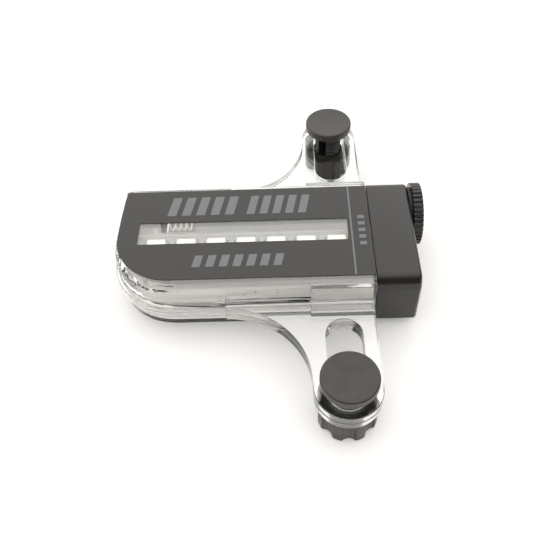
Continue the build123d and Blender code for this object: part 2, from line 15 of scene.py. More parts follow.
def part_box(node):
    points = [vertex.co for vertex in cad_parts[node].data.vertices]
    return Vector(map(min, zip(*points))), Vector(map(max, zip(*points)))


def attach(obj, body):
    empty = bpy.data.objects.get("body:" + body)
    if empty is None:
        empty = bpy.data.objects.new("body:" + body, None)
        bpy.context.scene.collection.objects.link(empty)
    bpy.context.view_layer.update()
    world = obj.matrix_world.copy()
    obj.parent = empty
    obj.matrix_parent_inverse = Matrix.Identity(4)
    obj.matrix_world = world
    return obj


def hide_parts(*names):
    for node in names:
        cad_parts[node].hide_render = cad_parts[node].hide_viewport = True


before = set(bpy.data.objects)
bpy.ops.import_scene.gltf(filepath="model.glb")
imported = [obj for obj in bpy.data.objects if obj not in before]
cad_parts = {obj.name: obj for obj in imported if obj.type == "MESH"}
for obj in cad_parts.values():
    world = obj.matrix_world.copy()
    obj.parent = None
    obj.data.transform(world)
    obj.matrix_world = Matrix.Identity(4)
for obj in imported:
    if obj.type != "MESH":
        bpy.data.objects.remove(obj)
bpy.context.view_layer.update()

MM = 0.001

# %% [markdown]
# Blender's operators act on whatever is selected, so each step starts by choosing one object and nothing
# else. A finished piece has its place in its mesh, and its object sits at the origin.

# %% Helpers for choosing and finishing a piece
def choose(*pieces):
    """Selects these objects and nothing else. The first is the active one."""
    bpy.ops.object.select_all(action="DESELECT")
    for piece in pieces:
        piece.select_set(True)
    bpy.context.view_layer.objects.active = pieces[0]


def settle(piece):
    """Moves the object's place, turn and size into its mesh."""
    choose(piece)
    bpy.ops.object.transform_apply(location=True, rotation=True, scale=True)


def smooth(piece, degrees):
    """Shades smooth over edges that are flatter than this."""
    choose(piece)
    bpy.ops.object.shade_smooth_by_angle(angle=math.radians(degrees))


def apply_modifier(piece, kind, **settings):
    """Adds a modifier, sets it and applies it."""
    choose(piece)
    modifier = piece.modifiers.new("step", kind)
    for name, value in settings.items():
        setattr(modifier, name, value)
    bpy.ops.object.modifier_apply(modifier=modifier.name)


def round_edges(piece, radius, segments=2, degrees=40, taken=None):
    """Rounds every edge that is sharper than this, and keeps the flat faces beside it flat to the eye.

    Where a test is given as taken, it is asked about the middle of each edge, and only edges that pass are
    rounded. A corner of many edges can throw a new vertex far out, so such a one is put back on the skin.
    """
    farthest = 0.7 * radius * MM
    smooth(piece, degrees)
    mesh = piece.data
    old_skin = BVHTree.FromPolygons(
        [vertex.co for vertex in mesh.vertices], [face.vertices for face in mesh.polygons]
    )
    shape = bmesh.new()
    shape.from_mesh(mesh)
    sharp = [edge.calc_face_angle(0) > math.radians(degrees) for edge in shape.edges]
    shape.free()
    weights = mesh.attributes.new("bevel_weight_edge", "FLOAT", "EDGE")
    for edge in mesh.edges:
        first, second = [mesh.vertices[end].co for end in edge.vertices]
        chosen = taken is None or taken((first + second) / 2)
        weights.data[edge.index].value = float(sharp[edge.index] and chosen)
    apply_modifier(
        piece,
        "BEVEL",
        width=radius * MM,
        segments=segments,
        limit_method="WEIGHT",
        use_clamp_overlap=False,
        harden_normals=True,
    )
    for vertex in piece.data.vertices:
        nearest, _, _, distance = old_skin.find_nearest(vertex.co)
        if distance > farthest:
            vertex.co = nearest


def centre(node):
    """The middle of a CAD node's box, in millimetres."""
    low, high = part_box(node)
    return (low + high) / 2 / MM


def add_piece(name, body, slot, material, *replaced):
    """Names the active object, gives it its material, and hands it to its CAD body."""
    piece = bpy.context.view_layer.objects.active
    piece.name = name
    piece.data.name = name
    piece.data.materials.clear()
    piece.data.materials.append(material)
    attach(piece, body)
    if replaced:
        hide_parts(*replaced)
    print(name, len(piece.data.polygons), "faces on", body)


# %% [markdown]
# A CAD node's mesh is loose triangles with hard edges. Where its shape is right but a moulded edge should
# be round, a copy of it is welded, its flat areas are joined into single faces, and its edges are rolled
# over. Light catches such an edge, which is most of what tells a moulded part from a drawn one.

# %% A welded copy of a CAD node
weld_distance = 0.05 * MM
flat_angle = math.radians(0.5)


def welded_copy(node):
    """A copy of a CAD node, merged into one skin with flat faces joined, chosen and ready to edit."""
    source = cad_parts[node]
    piece = source.copy()
    piece.data = source.data.copy()
    piece.parent = None
    piece.matrix_world = Matrix.Identity(4)
    bpy.context.scene.collection.objects.link(piece)
    piece.hide_render = False
    piece.hide_viewport = False
    choose(piece)
    bpy.ops.object.mode_set(mode="EDIT")
    bpy.ops.mesh.select_all(action="SELECT")
    bpy.ops.mesh.remove_doubles(threshold=weld_distance)
    bpy.ops.mesh.dissolve_limited(angle_limit=flat_angle)
    bpy.ops.object.mode_set(mode="OBJECT")
    return piece


# %% [markdown]
# Colours are written as they are picked from a screen, in sRGB, and Blender's shaders want linear light,
# so one function turns one into the other. Another adds a node to a material and wires it up. Pattern
# scales are in waves per metre, so a size in millimetres becomes a scale by one division.

# %% Helpers for materials
def linear(code):
    """An sRGB hex colour as linear RGBA."""
    parts = [int(code[place:place + 2], 16) / 255 for place in (1, 3, 5)]
    return [c / 12.92 if c <= 0.04045 else ((c + 0.055) / 1.055) ** 2.4 for c in parts] + [1.0]


def add_node(tree, kind, inputs=None, **settings):
    """Adds a node, sets its properties, and fills its inputs with values or with other nodes' outputs."""
    made = tree.nodes.new(kind)
    for name, value in settings.items():
        setattr(made, name, value)
    for name, value in (inputs or {}).items():
        if isinstance(value, bpy.types.NodeSocket):
            tree.links.new(value, made.inputs[name])
        else:
            made.inputs[name].default_value = value
    return made


def per_size(size_mm):
    """The texture scale that gives a pattern of this size."""
    return 1 / (size_mm * MM)


def start_material(name, colour, roughness, **values):
    """A material with one Principled shader, set to plain values. Patterns are wired in afterwards."""
    material = bpy.data.materials.new(name)
    material.use_nodes = True
    tree = material.node_tree
    shader = tree.nodes["Principled BSDF"]
    shader.inputs["Base Color"].default_value = linear(colour)
    shader.inputs["Roughness"].default_value = roughness
    shader.inputs["Emission Color"].default_value = linear(colour)
    for key, value in values.items():
        shader.inputs[key.replace("_", " ")].default_value = value
    place = add_node(tree, "ShaderNodeTexCoord").outputs["Object"]
    return material, tree, shader, place


def add_grain(tree, shader, place, size_mm, depth_mm, strength, detail=4.0):
    """A fine even bump, as spark-eroded mould steel leaves on plastic."""
    grain = add_node(
        tree, "ShaderNodeTexNoise", {"Vector": place, "Scale": per_size(size_mm), "Detail": detail}
    )
    bump = add_node(
        tree,
        "ShaderNodeBump",
        {"Height": grain.outputs["Fac"], "Distance": depth_mm * MM, "Strength": strength},
    )
    tree.links.new(bump.outputs["Normal"], shader.inputs["Normal"])


def vary(tree, shader, socket, pattern, low, high, first, second):
    """Lets a pattern carry a socket between two values, or between two hex colours."""
    if isinstance(first, str):
        spread = add_node(
            tree,
            "ShaderNodeMapRange",
            {"Value": pattern, "From Min": low, "From Max": high},
        )
        mix = add_node(
            tree,
            "ShaderNodeMix",
            {0: spread.outputs["Result"], 6: linear(first), 7: linear(second)},
            data_type="RGBA",
        )
        tree.links.new(mix.outputs[2], shader.inputs[socket])
    else:
        spread = add_node(
            tree,
            "ShaderNodeMapRange",
            {"Value": pattern, "From Min": low, "From Max": high, "To Min": first, "To Max": second},
        )
        tree.links.new(spread.outputs["Result"], shader.inputs[socket])


# %% [markdown]
# The housing is clear polycarbonate, injection moulded and polished. Clear plastic shows itself by its
# edges: light is bent hard there and comes back dark or white. Its surface is not quite flat, because the
# melt shrinks as it cools, so a slow wave, 14 mm long and very shallow, bends the lines seen through it.

# %% Clear polycarbonate
clear_polycarbonate, tree, shader, place = start_material(
    "clear_moulded_polycarbonate", "#FEFEFD", 0.03, IOR=1.58, Transmission_Weight=1.0
)
add_grain(tree, shader, place, 14.0, 0.05, strength=0.15, detail=1.0)
print(clear_polycarbonate.name)

# %% [markdown]
# The cap and the knob are black ABS, moulded in a finely etched tool. Black plastic shows mostly what it
# mirrors, blurred by its grain, so its own colour is dark and its roughness does the work. Handling
# leaves it slightly shinier in patches.

# %% Black ABS, and the harder nylon of the bolts and nuts
black_abs, tree, shader, place = start_material("black_etched_abs", "#211F1D", 0.24)
add_grain(tree, shader, place, 0.35, 0.012, strength=0.5)
patches = add_node(tree, "ShaderNodeTexNoise", {"Vector": place, "Scale": per_size(9.0), "Detail": 5.0})
vary(tree, shader, "Roughness", patches.outputs["Fac"], 0.3, 0.7, 0.2, 0.28)
vary(tree, shader, "Base Color", patches.outputs["Fac"], 0.3, 0.7, "#1F1D1C", "#262422")

black_nylon, tree, shader, place = start_material("black_glass_filled_nylon", "#312F2C", 0.38)
add_grain(tree, shader, place, 0.3, 0.03, strength=0.6)
patches = add_node(tree, "ShaderNodeTexNoise", {"Vector": place, "Scale": per_size(4.0), "Detail": 3.0})
vary(tree, shader, "Roughness", patches.outputs["Fac"], 0.3, 0.7, 0.26, 0.5)
vary(tree, shader, "Base Color", patches.outputs["Fac"], 0.35, 0.7, "#2B2927", "#3B3835")
print(black_abs.name, black_nylon.name)

# %% [markdown]
# The label is a printed polyester film: satin black ink under a thin clear coat, with paler grey ink for
# its marks. The film lies a little unevenly on its glue, which is a slow and very shallow wave.

# %% Label film and its grey ink
label_film, tree, shader, place = start_material("printed_black_film", "#282623", 0.36)
add_grain(tree, shader, place, 0.5, 0.006, strength=0.5)
patches = add_node(tree, "ShaderNodeTexNoise", {"Vector": place, "Scale": per_size(14.0), "Detail": 4.0})
vary(tree, shader, "Roughness", patches.outputs["Fac"], 0.3, 0.7, 0.32, 0.42)
vary(tree, shader, "Base Color", patches.outputs["Fac"], 0.3, 0.7, "#252321", "#2B2926")

grey_ink, tree, shader, place = start_material("grey_screen_ink", "#6E6E70", 0.45)
add_grain(tree, shader, place, 0.25, 0.004, strength=0.5)
print(label_film.name, grey_ink.name)

# %% [markdown]
# Inside sit a pale moulded carrier and white-coated circuit boards. The carrier is what makes the clear
# walls look pale grey. The lamps are white packages with a faintly yellow filling. Light that enters a
# clear box bounces many times in it, and a render cuts these bounces short. So what lies inside gets a
# little light of its own. The lamps are not lit, but their filling gets a painted glow for the bright white
# they show. The floor under the spring is a darker copy of the carrier plastic, a painted shade, so that
# the bright coils stand out before it.

# %% Carrier plastic, board coating and lamp materials
carrier_plastic, tree, shader, place = start_material(
    "pale_moulded_plastic", "#EFECE8", 0.5, Emission_Strength=0.17
)
add_grain(tree, shader, place, 0.5, 0.01, strength=0.4)

# A darker copy of the carrier plastic, with less light of its own: painted shade for the spring's bay.
shaded_plastic, tree, shader, place = start_material(
    "pale_moulded_plastic_in_shade", "#CFCCC8", 0.5, Emission_Strength=0.08
)
add_grain(tree, shader, place, 0.5, 0.01, strength=0.4)

white_mask, tree, shader, place = start_material(
    "white_solder_mask", "#F0F2F2", 0.3, Emission_Strength=0.12
)
add_grain(tree, shader, place, 0.6, 0.006, strength=0.4)

green_mask, tree, shader, place = start_material("green_solder_mask", "#1E5A34", 0.3)
add_grain(tree, shader, place, 0.6, 0.006, strength=0.4)

lamp_package, tree, shader, place = start_material("white_lamp_package", "#F6F5F0", 0.35)
add_grain(tree, shader, place, 0.3, 0.004, strength=0.4)

# The filling's emission is a painted glow for the bright white of the lamps, which are not lit.
painted_glow_filling, tree, shader, place = start_material(
    "clear_yellow_lamp_filling_painted_glow", "#FFFBEA", 0.15, Emission_Strength=0.6
)
add_grain(tree, shader, place, 1.2, 0.02, strength=0.3)
shader.inputs["Emission Color"].default_value = linear("#FFFDF4")
print(carrier_plastic.name, shaded_plastic.name, white_mask.name, green_mask.name)
print(lamp_package.name, painted_glow_filling.name)

# %% [markdown]
# The small metal and black parts inside: nickel-plated steel for the cans, drawn brass for the contacts,
# epoxy for the chips, pressed ferrite for the coil, rubber for the ring under the knob, and a plain printed
# sleeve for the cell. Metal shows what it mirrors. The spring's wire is drawn and plated bright, and it
# also glows a little, a painted highlight that makes its coils show as white streaks. Its plate is plated
# in a barrel, where parts rub each other dull. Solder paste melts to a dull white grey.

# %% Metals and small parts
nickel_plate, tree, shader, place = start_material("nickel_plated_steel", "#C9C6BF", 0.25, Metallic=1.0)
add_grain(tree, shader, place, 0.4, 0.006, strength=0.5)
patches = add_node(tree, "ShaderNodeTexNoise", {"Vector": place, "Scale": per_size(3.0), "Detail": 4.0})
vary(tree, shader, "Roughness", patches.outputs["Fac"], 0.3, 0.7, 0.18, 0.34)

# The wire's emission is a painted highlight, for the white streaks on the coils.
painted_glow_wire, tree, shader, place = start_material(
    "nickel_plated_wire_painted_glow", "#F4F2EE", 0.36, Metallic=0.8, Emission_Strength=0.3
)
add_grain(tree, shader, place, 0.6, 0.004, strength=0.3)

dull_solder, tree, shader, place = start_material("reflowed_solder_paste", "#D4D4D0", 0.5)
add_grain(tree, shader, place, 0.4, 0.01, strength=0.5)

dull_nickel, tree, shader, place = start_material("barrel_plated_nickel", "#8E8B86", 0.5, Metallic=1.0)
add_grain(tree, shader, place, 0.5, 0.01, strength=0.5)

drawn_brass, tree, shader, place = start_material("drawn_brass", "#D8B46A", 0.3, Metallic=1.0)
add_grain(tree, shader, place, 0.4, 0.006, strength=0.5)
patches = add_node(tree, "ShaderNodeTexNoise", {"Vector": place, "Scale": per_size(2.5), "Detail": 4.0})
vary(tree, shader, "Base Color", patches.outputs["Fac"], 0.3, 0.7, "#C79F57", "#DDBB74")

chip_epoxy, tree, shader, place = start_material("moulded_black_epoxy", "#222224", 0.55)
add_grain(tree, shader, place, 0.15, 0.01, strength=0.6)

pressed_ferrite, tree, shader, place = start_material("pressed_ferrite", "#3A3B3D", 0.6)
add_grain(tree, shader, place, 0.2, 0.02, strength=0.7)

black_rubber, tree, shader, place = start_material("moulded_black_rubber", "#1F1E1D", 0.65)
add_grain(tree, shader, place, 0.25, 0.01, strength=0.5)

# The sleeve's emission is painted light: a little glow of its own, like the carrier's, for light that
# bounces inside.
cell_sleeve, tree, shader, place = start_material(
    "printed_shrink_sleeve", "#E2E3E1", 0.35, Emission_Strength=0.12
)
add_grain(tree, shader, place, 2.5, 0.02, strength=0.4)
print(nickel_plate.name, painted_glow_wire.name, dull_solder.name, dull_nickel.name, drawn_brass.name)
print(chip_epoxy.name, pressed_ferrite.name, black_rubber.name, cell_sleeve.name)

# %% [markdown]
# The two half shells meet on a middle plane. In the real light a film of air lies between them there. If
# the two faces touched exactly, a ray could not tell which it meets first, so each copy of a shell is
# drawn back from the plane by two hundredths of a millimetre. Its edges are rolled over, because sharp
# corners don't fill in a mould, and round edges give clear plastic its bright and dark lines. Only the rim
# that meets the cap stays square, as it has to close the seam.

# %% Half shells
seam_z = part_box("upper_shell")[0].z
half_gap = 0.02 * MM
shell_roll = 0.22
rim_start = 26.6 * MM
arms_start = 19.3 * MM


def draw_back(piece, shift):
    """Moves the face on the parting plane off it."""
    for vertex in piece.data.vertices:
        if abs(vertex.co.z - seam_z) < half_gap:
            vertex.co.z += shift


def off_the_rim(point):
    """True for all edges but those of the rim that meets the cap. The arms, far out along Y, are kept."""
    return abs(point.y) > arms_start or point.x < rim_start


for shell, shift in (("upper_shell", half_gap), ("lower_shell", -half_gap)):
    piece = welded_copy(shell)
    draw_back(piece, shift)
    round_edges(piece, shell_roll, degrees=45, taken=off_the_rim)
    add_piece(shell + "_clear", "housing", "clear_plastic", clear_polycarbonate, shell)

# %% [markdown]
# Small things that the CAD leaves out: pale plates that close the carrier's empty nose, cover the edge of
# its circuit board, carry its walls up to the cap and close the bay under the spring, dark specks of burnt
# plastic that a moulder sometimes finds in a clear wall, and the round mark that an ejector pin leaves.
# A plate is a block between two corners with rolled edges, a speck a small ball, and the mark a thin ring.

# %% Carrier plates
def add_block(low, high):
    """A block between two corners, in millimetres, with its place in its mesh."""
    bpy.ops.mesh.primitive_cube_add(size=1)
    block = bpy.context.object
    block.scale = [(b - a) * MM for a, b in zip(low, high)]
    block.location = [(a + b) / 2 * MM for a, b in zip(low, high)]
    settle(block)
    return block


def join(pieces):
    """Joins pieces into the first one."""
    choose(*pieces)
    bpy.ops.object.join()


plate_roll = 0.2
carrier_plates = (
    ("carrier_nose_plate", (-38.2, 4.2, 12.4), (-32.3, 15.6, 13.2), carrier_plastic),
    ("carrier_front_shelf", (-25.0, -16.1, 15.1), (26.4, -12.4, 15.9), carrier_plastic),
    ("carrier_corner_shelf", (-31.9, -15.0, 15.1), (-25.1, -12.4, 15.9), carrier_plastic),
    ("carrier_front_tip", (24.1, -17.0, 4.9), (26.4, -16.2, 16.0), carrier_plastic),
    ("carrier_rear_tip", (24.1, 16.2, 4.9), (26.4, 17.0, 16.0), carrier_plastic),
    ("carrier_spring_floor", (-30.4, 7.2, 5.0), (-21.3, 16.0, 5.8), shaded_plastic),
)
for name, low, high, material in carrier_plates:
    round_edges(add_block(low, high), plate_roll)
    add_piece(name, "housing", "carrier_plastic", material)

# %% Specks and pin mark
speck_places_and_sizes = (
    (-13.0, -17.9, 14.0, 0.14), (-13.1, -17.9, 12.3, 0.16), (-6.7, -17.9, 14.4, 0.17),
    (-3.7, -17.9, 15.4, 0.2), (1.8, -17.9, 15.0, 0.18), (10.9, -18.7, 15.2, 0.16),
    (10.8, -18.7, 13.1, 0.18), (-25.5, -17.8, 16.5, 0.12), (-23.2, -17.8, 16.3, 0.12),
)
specks = []
for x, y, z, size in speck_places_and_sizes:
    bpy.ops.mesh.primitive_ico_sphere_add(
        subdivisions=2, radius=size * MM, location=(x * MM, y * MM, z * MM)
    )
    specks.append(bpy.context.object)
    settle(specks[-1])
join(specks)
add_piece("moulding_specks", "housing", "clear_plastic", chip_epoxy)

pin_radius = 0.8 * MM
pin_burr = 0.06 * MM
pin_place = (25.0 * MM, -27.2 * MM, 12.78 * MM)
bpy.ops.mesh.primitive_torus_add(
    major_radius=pin_radius,
    minor_radius=pin_burr,
    major_segments=40,
    minor_segments=8,
    location=pin_place,
)
pin_mark = bpy.context.object
settle(pin_mark)
smooth(pin_mark, 80)
add_piece("ejector_pin_mark", "housing", "clear_plastic", clear_polycarbonate)

# %% [markdown]
# The cap, the knob, its ring and the nuts are right in shape, and only lack the small rounding that a
# mould leaves on every edge. The labels are cut from film, so theirs is smaller still.
#
# The cap's long upper edges get more: the CAD rounds them by 2.4 mm, and the real cap's roll is deeper than
# it is wide, so the vertices of the round are moved to an ellipse, 3.2 mm across and 4.6 mm down. Its
# spigot is drawn in to a sixth, because it would stand as a black block behind the clear wall. The lower
# film is cut narrower, to keep its black edge away from the wall. This lightens the light's lower edge only
# a little, and the dark line there stays.

# %% Rounded copies of the outer parts
cap_roll = 2.4
roll_across = 3.2
roll_down = 4.6
seam_gap = 0.1
spigot_share = 0.16
lower_film_share = 0.86
rounded = (
    ("end_cap", "housing", "black_plastic", black_abs, 0.3),
    ("thumb_plug", "screw_plug", "black_plastic", black_abs, 0.14),
    ("plug_gasket", "screw_plug", "rubber", black_rubber, 0.2),
    ("front_nut", "front_thumb_nut", "bolt_plastic", black_nylon, 0.3),
    ("rear_nut", "rear_thumb_nut", "bolt_plastic", black_nylon, 0.3),
    ("upper_label", "housing", "label_film", label_film, 0.06),
    ("lower_label", "housing", "label_film", label_film, 0.06),
)


def reshape_cap(piece):
    """Gives the cap's upper edges a roll deeper than it is wide, and draws its hidden spigot in."""
    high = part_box("end_cap")[1] / MM
    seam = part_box("upper_shell")[1].x / MM + seam_gap
    slack = 0.01
    inner_reach = 0.7 * cap_roll
    for vertex in piece.data.vertices:
        at = vertex.co / MM
        across = abs(at.y) - (high.y - cap_roll)
        up = at.z - (high.z - cap_roll)
        reach = math.hypot(across, up)
        if across > -slack and up > -slack and reach > inner_reach:
            inset = cap_roll - reach
            side = high.y - roll_across + (roll_across - inset) * across / reach
            vertex.co.y = math.copysign(side, at.y) * MM
            vertex.co.z = (high.z - roll_down + (roll_down - inset) * up / reach) * MM
        if at.x < seam:
            vertex.co.x = (seam - (seam - at.x) * spigot_share) * MM


for node, body, slot, material, radius in rounded:
    piece = welded_copy(node)
    if node == "end_cap":
        reshape_cap(piece)
    if node == "lower_label":
        for vertex in piece.data.vertices:
            vertex.co.y *= lower_film_share
    round_edges(piece, radius, segments=3)
    add_piece(node + "_rounded", body, slot, material, node)

# %% [markdown]
# Where the real label carries its words, this one has plain slanted dashes in the same pale ink, as many
# and as large as the letters were, and one long line across. A dash is a thin block with its rear edge
# pushed over, and an Array modifier repeats it. The ink stands a few hundredths of a millimetre proud.

# %% Marks on both labels
ink_height = 0.03
film_margin = 0.1
# Each row has its left, right, front and rear limit, its count, a dash's share of its step, and its slant.
dash_rows = (
    (-28.1, -8.6, 6.3, 13.2, 5, 0.62, 1.3),
    (-6.4, 11.1, 6.3, 13.2, 5, 0.62, 1.3),
    (-20.2, 3.8, -12.1, -8.2, 7, 0.6, 0.8),
)
line_left, line_right = 21.53, 21.97
tick_column = (23.6, 25.4, -5.9, 4.7, 5, 0.5)


def add_dashes(left, right, front, rear, count, fill, slant, z):
    """A row of slanted dashes between four limits, in millimetres. fill is a dash's share of its step."""
    step = (right - left - slant) / (count - 1 + fill)
    bpy.ops.mesh.primitive_cube_add(size=1)
    dash = bpy.context.object
    dash.scale = (step * fill * MM, (rear - front) * MM, ink_height * MM)
    dash.location = ((left + step * fill / 2) * MM, (front + rear) / 2 * MM, z * MM)
    settle(dash)
    bpy.ops.object.mode_set(mode="EDIT")
    bpy.ops.mesh.select_all(action="DESELECT")
    bpy.ops.object.mode_set(mode="OBJECT")
    for vertex in dash.data.vertices:
        vertex.select = vertex.co.y > (front + rear) / 2 * MM
    bpy.ops.object.mode_set(mode="EDIT")
    bpy.ops.mesh.select_mode(type="VERT")
    bpy.ops.transform.translate(value=(slant * MM, 0, 0))
    bpy.ops.object.mode_set(mode="OBJECT")
    if count > 1:
        apply_modifier(
            dash,
            "ARRAY",
            count=count,
            use_relative_offset=False,
            use_constant_offset=True,
            constant_offset_displace=(step * MM, 0, 0),
        )
    return dash


def add_ticks(left, right, front, rear, count, fill, z):
    """A column of plain ticks."""
    step = (rear - front) / (count - 1 + fill)
    ticks = []
    for place in range(count):
        low = front + place * step
        ticks.append(add_dashes(left, right, low, low + step * fill, 1, 1.0, 0.0, z))
    return ticks


for side in ("upper", "lower"):
    low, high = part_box(side + "_label")
    face = high.z / MM if side == "upper" else low.z / MM
    z = face + (ink_height / 2 if side == "upper" else -ink_height / 2)
    edge = (high.y / MM - film_margin) * (1.0 if side == "upper" else lower_film_share)
    strokes = [add_dashes(*row, z) for row in dash_rows]
    strokes.append(add_dashes(line_left, line_right, -edge, edge, 1, 1.0, 0.0, z))
    strokes += add_ticks(*tick_column, z)
    join(strokes)
    add_piece(side + "_label_marks", "housing", "label_film", grey_ink)

# %% [markdown]
# A lamp is a white moulded cup with a clear filling, soldered to the board at both ends. One is modelled
# from a block: its top is inset and pushed down for the cup. The filling is a second block with round
# edges that lies in the cup. The Array modifier makes a row of seven of each.

# %% Lamps and their solder
lamp_count = 7
lamp_gap = 2.4
cup_wall = 0.5
cup_depth = 0.35
cup_roll = 0.1
filling_gap = 0.02
filling_drop = 0.08
filling_roll = 0.12
solder_reach = 0.5
solder_overlap = 0.15
solder_height = 0.45
solder_inset = 0.5
solder_roll = 0.18


def select_faces(piece, test):
    """Goes to edit mode with only the faces selected that pass the test."""
    choose(piece)
    bpy.ops.object.mode_set(mode="EDIT")
    bpy.ops.mesh.select_mode(type="FACE")
    bpy.ops.mesh.select_all(action="DESELECT")
    bpy.ops.object.mode_set(mode="OBJECT")
    for face in piece.data.polygons:
        face.select = test(face)
    bpy.ops.object.mode_set(mode="EDIT")


def repeat_lamps(piece, step):
    """Repeats a piece along the lamp row."""
    apply_modifier(
        piece,
        "ARRAY",
        count=lamp_count,
        use_relative_offset=False,
        use_constant_offset=True,
        constant_offset_displace=(step * MM, 0, 0),
    )


for side, way in (("upper", 1), ("lower", -1)):
    low, high = (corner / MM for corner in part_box(side + "_leds"))
    lamp_length = (high.x - low.x - lamp_gap * (lamp_count - 1)) / lamp_count
    step = lamp_length + lamp_gap
    foot, top = (low.z, high.z) if way > 0 else (high.z, low.z)

    cup = add_block((low.x, low.y, low.z), (low.x + lamp_length, high.y, high.z))
    select_faces(cup, lambda face: face.normal.z * way > 0.9)
    bpy.ops.mesh.inset(thickness=cup_wall * MM)
    bpy.ops.mesh.extrude_region_move(TRANSFORM_OT_translate={"value": (0, 0, -cup_depth * way * MM)})
    bpy.ops.object.mode_set(mode="OBJECT")
    round_edges(cup, cup_roll)
    repeat_lamps(cup, step)
    choose(cup)
    add_piece(side + "_lamp_cups", "housing", "lamp_package", lamp_package, side + "_leds")

    inner = cup_wall + filling_gap
    depths = sorted((top - cup_depth * way, top - filling_drop * way))
    filling = add_block(
        (low.x + inner, low.y + inner, depths[0]),
        (low.x + lamp_length - inner, high.y - inner, depths[1]),
    )
    round_edges(filling, filling_roll)
    repeat_lamps(filling, step)
    choose(filling)
    add_piece(side + "_lamp_fillings", "housing", "lamp_package", painted_glow_filling)

    joints = []
    for x in (low.x - solder_reach, low.x + lamp_length - solder_overlap):
        depths = sorted((foot, foot + solder_height * way))
        joint = add_block(
            (x, low.y + solder_inset, depths[0]),
            (x + solder_reach + solder_overlap, high.y - solder_inset, depths[1]),
        )
        round_edges(joint, solder_roll, segments=3)
        repeat_lamps(joint, step)
        joints.append(joint)
    join(joints)
    add_piece(side + "_lamp_solder", "housing", "plated_steel", dull_solder)

# %% [markdown]
# The contact spring is wound from round wire. The CAD has a six-sided wire, which one level of
# subdivision rounds without moving its line.

# %% Contact spring
piece = welded_copy("contact_spring")
apply_modifier(piece, "SUBSURF", levels=1, render_levels=1)
smooth(piece, 80)
add_piece("contact_spring_round", "housing", "spring_steel", painted_glow_wire, "contact_spring")

# %% [markdown]
# A spoke bolt is one moulding: a flat round head, and a shank with a coarse rounded thread that a slot
# splits for the spoke. The head is a disc with rolled edges and a face sunk by a hair, as thick plastic
# shrinks. The thread is a small diamond that the Screw modifier winds up the shank, one turn per 1.25 mm.
# Its ends are filled. A block cuts the slot out of both, and leaves a short neck under the head.

# %% Spoke bolts
shank_radius = 4.0
thread_depth = 0.45
thread_pitch = 1.25
thread_turns = 11
slot_width = 2.6
slot_turn = 57
slot_neck = 0.7
head_thickness = 2.4
head_roll = 0.45
head_rim = 1.1
dish_slope = 0.35
dish_depth = 0.06
shank_sunk = 0.5
shank_roll = 0.3
thread_start = 0.8
arm_x = centre("rear_bolt").x


def cut_slot(piece, y, low_z, high_z, turn):
    """Cuts the spoke slot out of a piece of the shank."""
    bpy.ops.mesh.primitive_cube_add(size=1)
    cutter = bpy.context.object
    cutter.scale = (4 * shank_radius * MM, slot_width * MM, (high_z - low_z) * MM)
    cutter.rotation_euler = (0, 0, math.radians(turn))
    cutter.location = (arm_x * MM, y * MM, (low_z + high_z) / 2 * MM)
    settle(cutter)
    apply_modifier(piece, "BOOLEAN", object=cutter, operation="DIFFERENCE", solver="EXACT")
    bpy.data.objects.remove(cutter)


def make_bolt(node, body, turn):
    """The bolt's head, shank and thread in place of its CAD node."""
    low, high = (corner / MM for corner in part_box(node))
    y = (low.y + high.y) / 2
    head_z = high.z - head_thickness

    bpy.ops.mesh.primitive_cylinder_add(
        vertices=96,
        radius=(high.x - low.x) / 2 * MM,
        depth=head_thickness * MM,
        location=(arm_x * MM, y * MM, (head_z + high.z) / 2 * MM),
    )
    head = bpy.context.object
    settle(head)
    select_faces(head, lambda face: face.normal.z > 0.9)
    bpy.ops.mesh.inset(thickness=head_rim * MM)
    bpy.ops.mesh.inset(thickness=dish_slope * MM)
    bpy.ops.transform.translate(value=(0, 0, -dish_depth * MM))
    bpy.ops.object.mode_set(mode="OBJECT")
    round_edges(head, head_roll, segments=4)

    bpy.ops.mesh.primitive_cylinder_add(
        vertices=64,
        radius=(shank_radius - thread_depth) * MM,
        depth=(head_z + shank_sunk - low.z) * MM,
        location=(arm_x * MM, y * MM, (head_z + shank_sunk + low.z) / 2 * MM),
    )
    shank = bpy.context.object
    settle(shank)
    round_edges(shank, shank_roll, segments=3)

    bpy.ops.mesh.primitive_circle_add(
        vertices=4,
        radius=thread_depth * MM,
        location=((shank_radius - thread_depth) * MM, 0, (low.z + thread_start) * MM),
        rotation=(math.pi / 2, 0, 0),
    )
    thread = bpy.context.object
    settle(thread)
    apply_modifier(
        thread,
        "SCREW",
        axis="Z",
        angle=2 * math.pi,
        screw_offset=thread_pitch * MM,
        iterations=thread_turns,
        steps=32,
        render_steps=32,
        use_merge_vertices=False,
    )
    choose(thread)
    bpy.ops.object.mode_set(mode="EDIT")
    bpy.ops.mesh.select_all(action="SELECT")
    bpy.ops.mesh.remove_doubles(threshold=0.002 * MM)
    bpy.ops.mesh.select_all(action="DESELECT")
    bpy.ops.mesh.select_mode(type="EDGE")
    bpy.ops.mesh.select_non_manifold()
    bpy.ops.mesh.fill()
    bpy.ops.mesh.select_all(action="SELECT")
    bpy.ops.mesh.normals_make_consistent(inside=False)
    bpy.ops.object.mode_set(mode="OBJECT")
    thread.location = (arm_x * MM, y * MM, 0)
    settle(thread)

    for part in (shank, thread):
        cut_slot(part, y, low.z - 1, head_z - slot_neck, turn)
    smooth(thread, 50)
    join([head, shank, thread])
    add_piece(node + "_threaded", body, "bolt_plastic", black_nylon, node)


make_bolt("rear_bolt", "rear_spoke_bolt", slot_turn)
make_bolt("front_bolt", "front_spoke_bolt", -slot_turn)

# %% [markdown]
# The remaining CAD nodes are right as they are: boards, chips, cans and contacts inside the light. Each
# gets its finish.

